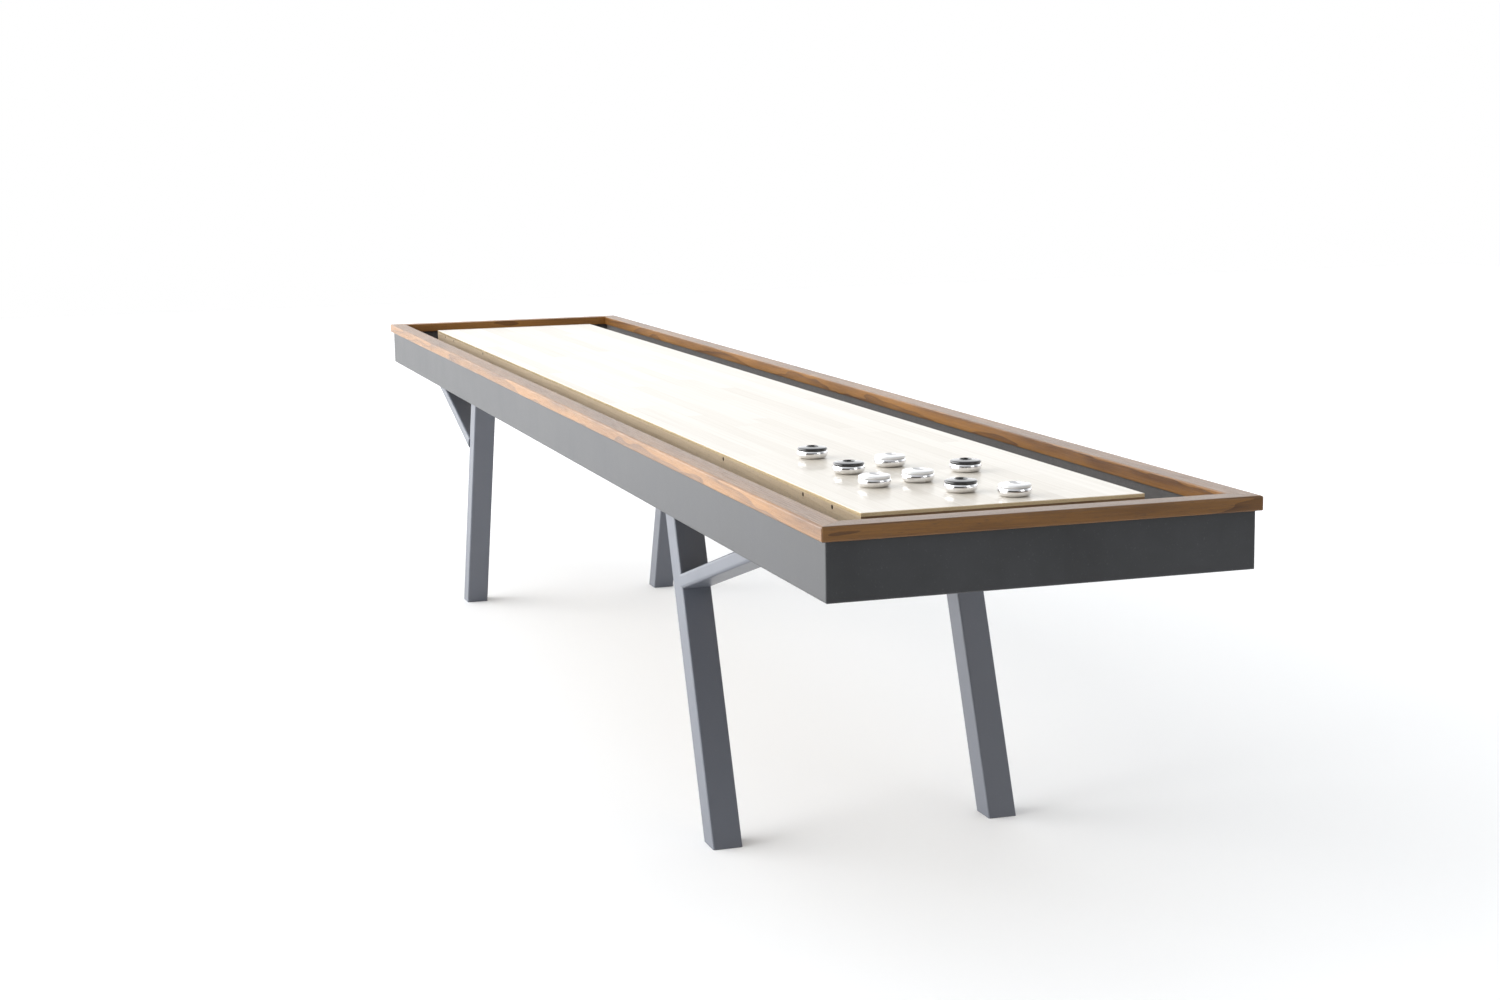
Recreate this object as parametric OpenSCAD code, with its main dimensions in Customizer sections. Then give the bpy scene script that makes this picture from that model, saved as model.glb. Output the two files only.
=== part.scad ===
// Shuffleboard table: wooden rails on a steel case, splayed Y legs, coated maple playfield, eight pucks.
// Frame: +X along the table towards the end with the pucks, +Y across, +Z up.
// The origin is on the floor at the centre of the table. All sizes are in millimetres.

/* [Table] */
// Overall length over the wooden rails
table_l = 4267; // [4200:1:4340]
// Overall width over the wooden rails
table_w = 762; // [755:1:790]
// Height of the rail top above the floor
table_h = 770; // [760:1:790]

/* [Rails] */
// Width of a rail board, seen from above
rail_w = 45; // [42:1:48]
// Thickness of a rail board
rail_t = 25; // [23:1:27]
// How far the rails stand out past the case
rail_overhang = 9; // [6:1:12]
// Radius along the outer top edge of a rail
rail_round = 4.5; // [2:0.5:6]

/* [Case] */
// Height of the steel tube that forms the case sides
apron_h = 98; // [96:1:104]
// Thickness of the case side tube, outside to inside
apron_t = 25; // [23:1:27]
// Wall of the case side tube
apron_wall = 3; // [2:0.5:4]
// Radius on the upright corners of the case
case_corner = 3; // [2:0.5:5]

/* [Beams] */
// Width of the four beams that carry the legs and braces
leg_beam_w = 80; // [76:1:84]
// Width of the five beams between them
middle_beam_w = 40; // [36:1:44]
// Height of every beam
beam_h = 40; // [38:1:42]
// Wall of every beam
beam_wall = 3; // [2:0.5:3.5]

/* [Playfield] */
// Length of the playfield board
board_l = 3928; // [3900:1:3950]
// Width of the playfield board
board_w = 508; // [500:1:512]
// Thickness of the maple slab
slab_t = 45; // [43:1:46]
// Thickness of the poured coat on the slab
coat_t = 6.5; // [5:0.5:7]
// How far the coat lies below the rail top
board_drop = 12.5; // [11:0.5:14]
// Diameter of the cross holes in the slab
tie_hole_d = 8; // [8:0.5:9]

/* [Gutter] */
// Thickness of the gutter's sheet-metal floor
pan_t = 2; // [1.5:0.5:2]
// Thickness of the gutter felt
felt_t = 3; // [2.5:0.5:3]

/* [Legs] */
// Outside width of the square leg tube
leg_tube = 60; // [58:1:61]
// Wall of the leg tube
leg_wall = 3; // [2.5:0.5:3]
// Radius on the long edges of the leg and brace tubes
tube_round = 4; // [3.5:0.5:5]
// Distance of the leg's centre line from the table's centre, across
leg_y = 289; // [286:1:290]
// Distance of the foot's centre from the table's centre, along
foot_x = 1273; // [1265:1:1280]
// Angle of the leg from upright
leg_lean = 20.65; // [20:0.05:21.2]
// Angle of the brace above level
brace_rise = 16.4; // [16:0.1:17]
// Thickness of the brace tube
brace_t = 24; // [22:1:26]
// Height at which the brace's upper face meets the leg
brace_z = 507; // [500:1:515]

/* [Levellers] */
// Diameter of the leveller pad
pad_d = 40; // [38:1:41]
// Diameter of the leveller's stud
stud_d = 10; // [10:1:10]
// Radial running clearance between the stud and its holes
run_gap = 0.05; // [0.02:0.01:0.1]

/* [Pucks] */
// Diameter of a puck
puck_d = 58.7; // [58:0.1:59]
// Height of a puck
puck_h = 23; // [22:0.5:23.5]

/* [Hidden] */
$fn = 48;
// how far a cutter runs past the face it cuts
eps = 1;
// hairline left between boards, sheets and the parts they lie against
hair = 0.2;
// small rounds along the outer bottom and inner top edges of a rail
rail_low_round = 3;
rail_inner_round = 2;
case_l = table_l - 2 * rail_overhang;
case_w = table_w - 2 * rail_overhang;
case_top = table_h - rail_t;
case_bottom = case_top - apron_h;
inner_x = case_l / 2 - apron_t;
inner_y = case_w / 2 - apron_t;
board_top = table_h - board_drop;
slab_top = board_top - coat_t;
slab_bottom = slab_top - slab_t;
plate_t = 8;
beam_z = case_bottom + plate_t;
beam_top = beam_z + beam_h;
pan_z = beam_top;
pan_top = pan_z + pan_t;
felt_top = pan_top + felt_t;
// how far the pans and the felt reach in under the board
pan_tuck = 16;
ledger_leg = 25;
ledger_t = 3;
// leg geometry in the XZ plane, for the +X side
lean = tan(leg_lean);
leg_half = leg_tube / cos(leg_lean) / 2;
leg_top_x = foot_x - lean * case_bottom;
rise = tan(brace_rise);
brace_v = brace_t / cos(brace_rise);
brace_x0 = foot_x + leg_half - lean * brace_z;
brace_top_a = brace_x0 + (case_bottom - brace_z) / rise;
brace_top_b = brace_top_a + brace_v / rise;
brace_top_x = (brace_top_a + brace_top_b) / 2;
leg_beam_x = [leg_top_x, brace_top_x];
middle_beam_x = [0, 515, 1935];
rest_x = [0, middle_beam_x[1], leg_top_x, brace_top_x, middle_beam_x[2] - 5];
rest_y = 150;
rest_w = 30;
rest_l = 80;
// rail screws: places, shank, head and the holes they pass
side_screw_x = [200, 610, 1010, 1410, 1800];
end_screw_y = [90, 250];
screw_y = case_w / 2 - apron_t / 2;
screw_x = case_l / 2 - apron_t / 2;
rail_screw_r = 2;
rail_screw_l = 18;
rail_screw_head_r = 4.5;
rail_screw_head_h = 2.9;
screw_clear_r = 2.5;
access_r = 6;
// loose tenon across each mitre of the rails
key_l = 28;
key_w = 18;
key_t = 4;
// bolts of the leg and brace plates: shank radius, then the head across its corners
m8 = 4;
m8_head = 7.4;
m8_head_h = 5.3;
nut_h = 6.5;
// across the table, the plates reach from plate_y0 to just short of the case side
plate_y0 = leg_y - 52;
plate_y1 = leg_y + 50;
bolt_dx = 28;
bolt_dy = 40;
leg_plate_l = 84;
brace_plate_l = 112;
// feet: the closing ring, the threaded plate above it, the pad and its stud
foot_t = 5;
foot_hole_d = pad_d + 6;
nut_z = 15;
nut_t = 8;
pad_z = 0.6;
pad_t = 4;
pad_hub_r = 9;
pad_hub_h = 8;
stud_z = 3;
stud_len = 44;
key_hole_r = 3.6;
foot_cx = foot_x - lean * nut_z;
// climatic adjusters
adjuster_x = [260, 1330];
lug_y = 190;
lug_leg = 50;
lug_l = 60;
lug_t = 5;
rod_r = 6;
rod_z = slab_bottom - 30;
rod_half = lug_y + 40;
rod_nut_r = 10.9;
rod_nut_h = 10;
lug_screw_y = lug_y - 24;
lug_screw_dx = 20;
lug_screw_r = 2.5;
lug_screw_l = 25;
lug_screw_head_r = 5.8;
lug_screw_head_h = 4;
// round along the coat's top edges
coat_round = 1.5;
// tie rods
tie_x = [1205, 1677, 1826];
tie_z = slab_top - 4.7;
tie_rod_r = 3.4;
tie_nut_r = 3.9;
tie_half = board_w / 2 - 22;
// a barrel nut reaches this far in over the rod; its key socket is at its outer end
tie_nut_grip = 12;
tie_nut_l = 20;
socket_r = 2.9;
socket_deep = 5;
// pucks: resting places, black caps then white caps
black_at = [[1332, -116], [1545, -121], [1608, 80], [1823, -20]];
white_at = [[1493, -21], [1710, -134], [1687, -44], [1900, 45]];
bulge_r = 9.5;
seat_z = 14.5;
wax_film = 0.1;
boss_r = 8.8;
// how far a cap's edge stands in from the body's
cap_inset = 1.1;

steel_paint = [0.24, 0.245, 0.26];
walnut = [0.62, 0.41, 0.24];
maple = [0.72, 0.62, 0.47];
coat_colour = [0.96, 0.94, 0.86];
felt_colour = [0.33, 0.33, 0.36];
zinc = [0.66, 0.67, 0.68];
chrome_colour = [0.85, 0.86, 0.88];
black_plastic = [0.05, 0.05, 0.06];
white_plastic = [0.93, 0.93, 0.94];

// ---- shared shapes ----

// a box given by its low corner and its high corner
module span(a, b) {
    translate(a)
        cube([b[0] - a[0], b[1] - a[1], b[2] - a[2]]);
}

// the piece of a square corner that lies outside a round of radius r, corner at the origin
module corner_waste(r) {
    difference() {
        translate([-eps, -eps])
            square(r + eps);
        translate([r, r])
            circle(r);
    }
}

// both ends of the table: the children as drawn at +X, and mirrored to -X
module both_ends() {
    children();
    mirror([1, 0, 0])
        children();
}

// both sides of the table: the children as drawn at +Y, and mirrored to -Y
module both_sides() {
    children();
    mirror([0, 1, 0])
        children();
}

// carries a piece drawn for the near right leg to the corner given by its signs
module at_corner(sx, sy) {
    scale_x = sx > 0 ? 0 : 1;
    scale_y = sy > 0 ? 0 : 1;
    mirror([scale_x, 0, 0])
        mirror([0, scale_y, 0])
            children();
}

// hexagonal prism, measured across its corners
module hex(r, h) {
    cylinder(r = r, h = h, $fn = 6);
}

// ---- rails ----

// section of a rail: X is outwards from the rail's inner face, Y is up
module rail_section() {
    difference() {
        square([rail_w, rail_t]);
        translate([rail_w, rail_t])
            rotate(180)
                corner_waste(rail_round);
        translate([rail_w, 0])
            rotate(90)
                corner_waste(rail_low_round);
        translate([0, rail_t])
            rotate(270)
                corner_waste(rail_inner_round);
    }
}

// plan of one side's mitred board, drawn for the +Y side of a frame l long and w wide
module mitre_plan(l, w, depth) {
    polygon([
        [-l / 2 + hair, w / 2],
        [l / 2 - hair, w / 2],
        [l / 2 - hair - depth, w / 2 - depth],
        [-l / 2 + hair + depth, w / 2 - depth]
    ]);
}

// slot for the wooden key across each mitre, and the keys themselves when grown by zero
module mitre_key(grow) {
    translate([table_l / 2 - rail_w / 2 - 1, table_w / 2 - rail_w / 2 - 1, case_top + rail_t / 2])
        rotate(-45)
            cube([key_l + 2 * grow, key_w + 2 * grow, key_t + 2 * grow], center = true);
}

// a rail board of a frame l long and w wide, drawn for the +Y side
module rail_board(l, w) {
    intersection() {
        translate([l / 2, w / 2 - rail_w, case_top])
            rotate([90, 0, -90])
                mirror([1, 0, 0])
                    linear_extrude(height = l)
                        rail_section();
        translate([0, 0, case_top - eps])
            linear_extrude(height = rail_t + 2 * eps)
                mitre_plan(l, w, rail_w);
    }
}

// runs its children at every rail screw of one long side, drawn for +Y
module side_screw_places() {
    for (x = side_screw_x) {
        translate([x, screw_y, 0])
            children();
        translate([-x, screw_y, 0])
            children();
    }
}

// runs its children at every rail screw of one end, drawn for +X
module end_screw_places() {
    for (y = end_screw_y) {
        translate([screw_x, y, 0])
            children();
        translate([screw_x, -y, 0])
            children();
    }
}

module pilot_hole() {
    translate([0, 0, case_top - eps])
        cylinder(r = rail_screw_r + 0.1, h = rail_screw_l - 1);
}

module side_rail(sy) {
    color(walnut)
        at_corner(1, sy)
            difference() {
                rail_board(table_l, table_w);
                both_ends()
                    mitre_key(hair);
                side_screw_places()
                    pilot_hole();
            }
}

module end_rail(sx) {
    color(walnut)
        at_corner(sx, 1)
            difference() {
                rotate(-90)
                    rail_board(table_w, table_l);
                both_sides()
                    mitre_key(hair);
                end_screw_places()
                    pilot_hole();
            }
}

module mitre_keys() {
    color(maple)
        both_ends()
            both_sides()
                mitre_key(0);
}

// screw from inside the case tube up into the rail
module rail_screw() {
    head_z = case_top - apron_wall - rail_screw_head_h - 0.1;
    translate([0, 0, head_z])
        cylinder(r = rail_screw_head_r, h = rail_screw_head_h);
    translate([0, 0, head_z + rail_screw_head_h - 0.4])
        cylinder(r = rail_screw_r, h = rail_screw_l);
}

module rail_screws() {
    color(zinc) {
        both_sides()
            side_screw_places()
                rail_screw();
        both_ends()
            end_screw_places()
                rail_screw();
    }
}

// ---- case ----

// section of the case tube: X is outwards, Y is up
module apron_section() {
    difference() {
        square([apron_t, apron_h]);
        translate([apron_wall, apron_wall])
            square([apron_t - 2 * apron_wall, apron_h - 2 * apron_wall]);
        translate([apron_t, 0])
            rotate(90)
                corner_waste(case_corner);
    }
}

// plan of the case with its rounded corners
module case_plan() {
    x = case_l / 2 - case_corner;
    y = case_w / 2 - case_corner;
    square([2 * x, case_w], center = true);
    square([case_l, 2 * y], center = true);
    for (sx = [-1, 1])
        for (sy = [-1, 1])
            translate([sx * x, sy * y])
                circle(case_corner);
}

// a mitred length of case tube, drawn for the +Y side
module apron_board(l, w) {
    intersection() {
        translate([l / 2, w / 2 - apron_t, case_bottom])
            rotate([90, 0, -90])
                mirror([1, 0, 0])
                    linear_extrude(height = l)
                        apron_section();
        translate([0, 0, case_bottom - eps])
            linear_extrude(height = apron_h + 2 * eps)
                polygon([
                    [-l / 2, w / 2],
                    [l / 2, w / 2],
                    [l / 2 - apron_t, w / 2 - apron_t],
                    [-l / 2 + apron_t, w / 2 - apron_t]
                ]);
    }
}

// clearance hole in the top wall and access hole in the bottom wall
module screw_holes() {
    translate([0, 0, case_top - apron_wall - eps])
        cylinder(r = screw_clear_r, h = apron_wall + 2 * eps);
    translate([0, 0, case_bottom - eps])
        cylinder(r = access_r, h = apron_wall + 2 * eps);
}

module case_corners() {
    translate([0, 0, case_bottom - 2 * eps])
        linear_extrude(height = apron_h + 4 * eps)
            case_plan();
}

module side_apron(sy) {
    color(steel_paint)
        at_corner(1, sy)
            difference() {
                intersection() {
                    apron_board(case_l, case_w);
                    case_corners();
                }
                side_screw_places()
                    screw_holes();
            }
}

module end_apron(sx) {
    color(steel_paint)
        at_corner(sx, 1)
            difference() {
                intersection() {
                    rotate(-90)
                        apron_board(case_w, case_l);
                    case_corners();
                }
                end_screw_places()
                    screw_holes();
            }
}

// ---- beams ----

// rectangular tube from side to side of the case, open at both ends
module beam(x, w) {
    difference() {
        span([x - w / 2, -inner_y, beam_z], [x + w / 2, inner_y, beam_top]);
        span(
            [x - w / 2 + beam_wall, -inner_y - eps, beam_z + beam_wall],
            [x + w / 2 - beam_wall, inner_y + eps, beam_top - beam_wall]
        );
    }
}

module leg_beams() {
    color(steel_paint)
        both_ends()
            difference() {
                union() {
                    beam(leg_beam_x[0], leg_beam_w);
                    beam(leg_beam_x[1], leg_beam_w);
                }
                both_sides()
                    plate_bolt_places()
                        translate([0, 0, beam_z - eps])
                            cylinder(r = m8 + 0.4, h = beam_wall + 2 * eps);
            }
}

module middle_beams() {
    color(steel_paint) {
        beam(middle_beam_x[0], middle_beam_w);
        both_ends() {
            beam(middle_beam_x[1], middle_beam_w);
            beam(middle_beam_x[2], middle_beam_w);
        }
    }
}

// ---- gutters ----

module side_gutter_pans() {
    color(steel_paint)
        both_sides()
            span(
                [-inner_x + hair, board_w / 2 - pan_tuck, pan_z],
                [inner_x - hair, inner_y - hair, pan_top]
            );
}

module end_gutter_pans() {
    color(steel_paint)
        both_ends()
            span(
                [board_l / 2 - pan_tuck, -board_w / 2 + pan_tuck + hair, pan_z],
                [inner_x - hair, board_w / 2 - pan_tuck - hair, pan_top]
            );
}

// steel angle along each end of the case, under the end pan
module gutter_ledgers() {
    color(steel_paint)
        both_ends()
            difference() {
                span(
                    [inner_x - ledger_leg, -board_w / 2, pan_z - ledger_leg],
                    [inner_x, board_w / 2, pan_z]
                );
                span(
                    [inner_x - ledger_leg - eps, -board_w / 2 - eps, pan_z - ledger_leg - eps],
                    [inner_x - ledger_t, board_w / 2 + eps, pan_z - ledger_t]
                );
            }
}

// felt on the gutter floor and up the inside of the case
module gutter_felts() {
    edge_x = inner_x - hair;
    edge_y = inner_y - hair;
    color(felt_colour)
        difference() {
            span([-edge_x, -edge_y, pan_top], [edge_x, edge_y, case_top - hair]);
            span(
                [-edge_x + felt_t, -edge_y + felt_t, felt_top],
                [edge_x - felt_t, edge_y - felt_t, case_top + eps]
            );
            span(
                [-board_l / 2 + pan_tuck, -board_w / 2 + pan_tuck, pan_top - eps],
                [board_l / 2 - pan_tuck, board_w / 2 - pan_tuck, felt_top + eps]
            );
        }
}

// ---- playfield ----

// runs its children at each cross hole of the slab, axis along Y
module tie_places() {
    both_ends()
        for (x = tie_x)
            translate([x, 0, tie_z])
                rotate([90, 0, 0])
                    children();
}

module adjuster_screw_places() {
    both_ends()
        both_sides()
            for (x = adjuster_x)
                for (dx = [-lug_screw_dx, lug_screw_dx])
                    translate([x + dx, lug_screw_y, slab_bottom])
                        children();
}

module playfield_slab() {
    color(maple)
        difference() {
            span([-board_l / 2, -board_w / 2, slab_bottom], [board_l / 2, board_w / 2, slab_top]);
            tie_places()
                cylinder(r = tie_hole_d / 2, h = board_w + 2 * eps, center = true);
            adjuster_screw_places()
                translate([0, 0, -eps])
                    cylinder(r = lug_screw_r + 0.1, h = lug_screw_l + eps);
        }
}

// poured coat with a small round along its top edges
module playfield_coat() {
    r = coat_round;
    color(coat_colour)
        translate([0, 0, slab_top])
            difference() {
                span([-board_l / 2, -board_w / 2, 0], [board_l / 2, board_w / 2, coat_t]);
                both_sides()
                    translate([-board_l / 2 - eps, board_w / 2, coat_t])
                        rotate([90, 0, 90])
                            linear_extrude(height = board_l + 2 * eps)
                                rotate(180)
                                    corner_waste(r);
                both_ends()
                    translate([board_l / 2, board_w / 2 + eps, coat_t])
                        rotate([90, 0, 0])
                            linear_extrude(height = board_w + 2 * eps)
                                rotate(180)
                                    corner_waste(r);
            }
}

module tie_rods() {
    color(zinc)
        tie_places()
            cylinder(r = tie_rod_r, h = 2 * tie_half, center = true);
}

// barrel nut with a hexagonal key socket, at both ends of every tie rod
module tie_rod_nuts() {
    color(zinc)
        tie_places()
            for (s = [0, 1])
                mirror([0, 0, s])
                    translate([0, 0, tie_half - tie_nut_grip])
                        difference() {
                            cylinder(r = tie_nut_r, h = tie_nut_l);
                            translate([0, 0, -eps])
                                cylinder(r = tie_rod_r + run_gap, h = tie_nut_grip + hair + eps);
                            translate([0, 0, tie_nut_l - socket_deep])
                                hex(socket_r, socket_deep + eps);
                        }
}

// hardwood blocks between the beams and the slab
module playfield_rests() {
    color(maple)
        both_sides()
            for (x = rest_x)
                for (end = x > 0 ? [-1, 1] : [1])
                    translate([end * x, rest_y, 0])
                        span(
                            [-rest_w / 2, -rest_l / 2, beam_top],
                            [rest_w / 2, rest_l / 2, slab_bottom]
                        );
}

// ---- climatic adjusters ----

module adjuster_places() {
    both_ends()
        for (x = adjuster_x)
            translate([x, 0, 0])
                children();
}

// steel angle screwed under the slab near each edge
module adjuster_lugs() {
    color(zinc)
        adjuster_places()
            both_sides()
                difference() {
                    span(
                        [-lug_l / 2, lug_y - lug_leg, slab_bottom - lug_leg],
                        [lug_l / 2, lug_y, slab_bottom]
                    );
                    span(
                        [-lug_l / 2 - eps, lug_y - lug_leg - eps, slab_bottom - lug_leg - eps],
                        [lug_l / 2 + eps, lug_y - lug_t, slab_bottom - lug_t]
                    );
                    translate([0, lug_y - lug_t - eps, rod_z])
                        rotate([-90, 0, 0])
                            cylinder(r = rod_r + 0.5, h = lug_t + 2 * eps);
                    for (dx = [-lug_screw_dx, lug_screw_dx])
                        translate([dx, lug_screw_y, slab_bottom - lug_t - eps])
                            cylinder(r = lug_screw_r + 0.7, h = lug_t + 2 * eps);
                }
}

module adjuster_rods() {
    color(zinc)
        adjuster_places()
            translate([0, 0, rod_z])
                rotate([90, 0, 0])
                    cylinder(r = rod_r, h = 2 * rod_half, center = true);
}

// two nuts at every lug, one on each side of it
module adjuster_nuts() {
    color(zinc)
        adjuster_places()
            both_sides()
                for (y = [lug_y, lug_y - lug_t - rod_nut_h])
                    translate([0, y, rod_z])
                        rotate([-90, 0, 0])
                            difference() {
                                hex(rod_nut_r, rod_nut_h);
                                translate([0, 0, -eps])
                                    cylinder(r = rod_r + run_gap, h = rod_nut_h + 2 * eps);
                            }
}

module adjuster_screws() {
    color(zinc)
        adjuster_screw_places() {
            translate([0, 0, -lug_t - lug_screw_head_h])
                hex(lug_screw_head_r, lug_screw_head_h);
            translate([0, 0, -lug_t - 0.5])
                cylinder(r = lug_screw_r, h = lug_screw_l);
        }
}

// ---- legs ----

// rectangle with rounded corners, centred
module round_rect(w, h, r) {
    difference() {
        square([w, h], center = true);
        for (a = [0, 1])
            for (b = [0, 1])
                mirror([a, 0])
                    mirror([0, b])
                        translate([-w / 2, -h / 2])
                            corner_waste(r);
    }
}

// everything between two heights
module level_band(z0, z1) {
    span([-table_l, -table_w, z0], [table_l, table_w, z1]);
}

// solid bar along the near right leg, running past both of its ends
module leg_bar(w, r) {
    translate([foot_x, leg_y, 0])
        rotate([0, -leg_lean, 0])
            translate([0, 0, -leg_tube])
                linear_extrude(height = table_h + 2 * leg_tube)
                    round_rect(w, w, r);
}

module leg_tube_piece() {
    intersection() {
        difference() {
            leg_bar(leg_tube, tube_round);
            leg_bar(leg_tube - 2 * leg_wall, tube_round - leg_wall);
        }
        level_band(foot_t, case_bottom);
    }
}

module leg(sx, sy) {
    color(steel_paint)
        at_corner(sx, sy)
            leg_tube_piece();
}

// solid bar along the near right brace, running past both of its ends
module brace_bar(t, w, r) {
    translate([brace_x0, leg_y, brace_z - brace_v / 2])
        rotate([0, 90 - brace_rise, 0])
            translate([0, 0, -leg_tube])
                linear_extrude(height = table_w)
                    round_rect(t, w, r);
}

// the brace starts on the leg's outer face and ends level under its plate
module brace_piece() {
    low_z = brace_z - 4 * brace_t;
    far_x = brace_top_b + leg_tube;
    intersection() {
        difference() {
            brace_bar(brace_t, leg_tube, tube_round);
            brace_bar(brace_t - 2 * leg_wall, leg_tube - 2 * leg_wall, tube_round - leg_wall);
        }
        translate([0, leg_y + leg_tube, 0])
            rotate([90, 0, 0])
                linear_extrude(height = 2 * leg_tube)
                    polygon([
                        [foot_x + leg_half - lean * low_z, low_z],
                        [far_x, low_z],
                        [far_x, case_bottom],
                        [foot_x + leg_half - lean * case_bottom, case_bottom]
                    ]);
    }
}

module brace(sx, sy) {
    color(steel_paint)
        at_corner(sx, sy)
            brace_piece();
}

// bolt centres of the plates of the near right leg and brace
module plate_bolt_places() {
    for (dx = [-bolt_dx, bolt_dx])
        for (dy = [-bolt_dy, bolt_dy])
            translate([leg_top_x + dx, leg_y + dy, 0])
                children();
    for (dx = [-bolt_dx, bolt_dx])
        for (dy = [-bolt_dy, bolt_dy])
            translate([brace_top_x + dx, leg_y + dy, 0])
                children();
}

// plates that close the tops of the legs and braces and bolt to the beams
module leg_plates() {
    color(steel_paint)
        both_ends()
            both_sides()
                difference() {
                    union() {
                        span(
                            [leg_top_x - leg_plate_l / 2, plate_y0, case_bottom],
                            [leg_top_x + leg_plate_l / 2, plate_y1, beam_z]
                        );
                        span(
                            [brace_top_x - brace_plate_l / 2, plate_y0, case_bottom],
                            [brace_top_x + brace_plate_l / 2, plate_y1, beam_z]
                        );
                    }
                    plate_bolt_places()
                        translate([0, 0, case_bottom - eps])
                            cylinder(r = m8 + 0.4, h = plate_t + 2 * eps);
                }
}

// hexagonal bolts, each with its nut inside the beam
module plate_bolts() {
    nut_low = beam_z + beam_wall;
    color(zinc)
        both_ends()
            both_sides()
                plate_bolt_places() {
                    translate([0, 0, case_bottom - m8_head_h])
                        hex(m8_head, m8_head_h);
                    translate([0, 0, case_bottom - 0.5])
                        cylinder(r = m8, h = plate_t + beam_wall + 9);
                    translate([0, 0, nut_low])
                        difference() {
                            hex(m8_head, nut_h);
                            translate([0, 0, -eps])
                                cylinder(r = m8 + run_gap, h = nut_h + 2 * eps);
                        }
                }
}

// ---- feet and levellers ----

// ring that closes the bottom of each leg, and the threaded plate above it
module foot_rings() {
    color(steel_paint)
        both_ends()
            both_sides() {
                difference() {
                    intersection() {
                        leg_bar(leg_tube, tube_round);
                        level_band(0, foot_t);
                    }
                    translate([foot_cx, leg_y, -eps])
                        cylinder(r = foot_hole_d / 2, h = foot_t + 2 * eps);
                }
                difference() {
                    intersection() {
                        leg_bar(leg_tube - 2 * leg_wall, tube_round - leg_wall);
                        level_band(nut_z, nut_z + nut_t);
                    }
                    translate([foot_cx, leg_y, nut_z - eps])
                        cylinder(r = stud_d / 2 + run_gap, h = nut_t + 2 * eps);
                }
            }
}

// round pad with a hub; the stud turns in the hub's bore
module leveller_pad(sx, sy) {
    color(black_plastic)
        at_corner(sx, sy)
            translate([foot_cx, leg_y, pad_z])
                difference() {
                    union() {
                        cylinder(r = pad_d / 2, h = pad_t);
                        cylinder(r = pad_hub_r, h = pad_hub_h);
                    }
                    translate([0, 0, stud_z - pad_z - hair])
                        cylinder(r = stud_d / 2 + run_gap, h = pad_hub_h);
                    translate([0, 0, -eps])
                        cylinder(r = key_hole_r, h = pad_hub_h);
                }
}

// threaded stud with a key socket in its lower end
module leveller_stud(sx, sy) {
    color(zinc)
        at_corner(sx, sy)
            translate([foot_cx, leg_y, stud_z])
                difference() {
                    cylinder(r = stud_d / 2, h = stud_len);
                    translate([0, 0, -eps])
                        hex(socket_r, socket_deep + eps);
                }
}

// ---- pucks ----

// stands a puck on the film of wax that it slides on
module puck_at(place) {
    translate([place[0], place[1], board_top + wax_film])
        children();
}

// weighted body: bulging side, flat running face, seat and boss for the cap
module puck_body() {
    color(chrome_colour)
        rotate_extrude()
            union() {
                square([puck_d / 2 - bulge_r, seat_z]);
                square([boss_r, puck_h - 3]);
                intersection() {
                    translate([puck_d / 2 - bulge_r, bulge_r])
                        circle(bulge_r);
                    square([puck_d, seat_z]);
                }
            }
}

// cap: a ring with a rounded outer edge, a slightly conical top and a raised inner rim
module puck_cap(colour) {
    cap_h = puck_h - 0.7 - seat_z;
    edge = 0.39 * cap_h;
    edge_at = puck_d / 2 - cap_inset - edge;
    color(colour)
        translate([0, 0, seat_z])
            rotate_extrude()
                difference() {
                    union() {
                        polygon([[0, 0], [edge_at, 0], [edge_at, 2 * edge], [boss_r + 2, cap_h], [0, cap_h]]);
                        translate([edge_at, edge])
                            circle(edge);
                        translate([boss_r + 2, cap_h - 0.3])
                            circle(1);
                    }
                    translate([-eps, -2 * cap_h])
                        square([boss_r + hair + eps, 4 * cap_h]);
                }
}

side_rail(-1);  // side_rail_left
side_rail(1);  // side_rail_right
end_rail(1);  // end_rail_near
end_rail(-1);  // end_rail_far
mitre_keys();
rail_screws();
side_apron(-1);  // side_apron_left
side_apron(1);  // side_apron_right
end_apron(1);  // end_apron_near
end_apron(-1);  // end_apron_far
leg_beams();
middle_beams();
side_gutter_pans();
end_gutter_pans();
gutter_ledgers();
gutter_felts();
playfield_slab();
playfield_coat();
tie_rods();
tie_rod_nuts();
playfield_rests();
adjuster_lugs();
adjuster_rods();
adjuster_nuts();
adjuster_screws();
leg(1, -1);  // leg_near_left
leg(1, 1);  // leg_near_right
leg(-1, -1);  // leg_far_left
leg(-1, 1);  // leg_far_right
brace(1, -1);  // brace_near_left
brace(1, 1);  // brace_near_right
brace(-1, -1);  // brace_far_left
brace(-1, 1);  // brace_far_right
leg_plates();
plate_bolts();
foot_rings();
leveller_pad(1, -1);  // leveller_pad_near_left
leveller_pad(1, 1);  // leveller_pad_near_right
leveller_pad(-1, -1);  // leveller_pad_far_left
leveller_pad(-1, 1);  // leveller_pad_far_right
leveller_stud(1, -1);  // leveller_stud_near_left
leveller_stud(1, 1);  // leveller_stud_near_right
leveller_stud(-1, -1);  // leveller_stud_far_left
leveller_stud(-1, 1);  // leveller_stud_far_right
puck_at(black_at[0]) puck_body();  // black_puck_1
puck_at(black_at[1]) puck_body();  // black_puck_2
puck_at(black_at[2]) puck_body();  // black_puck_3
puck_at(black_at[3]) puck_body();  // black_puck_4
puck_at(black_at[0]) puck_cap(black_plastic);  // black_cap_1
puck_at(black_at[1]) puck_cap(black_plastic);  // black_cap_2
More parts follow.
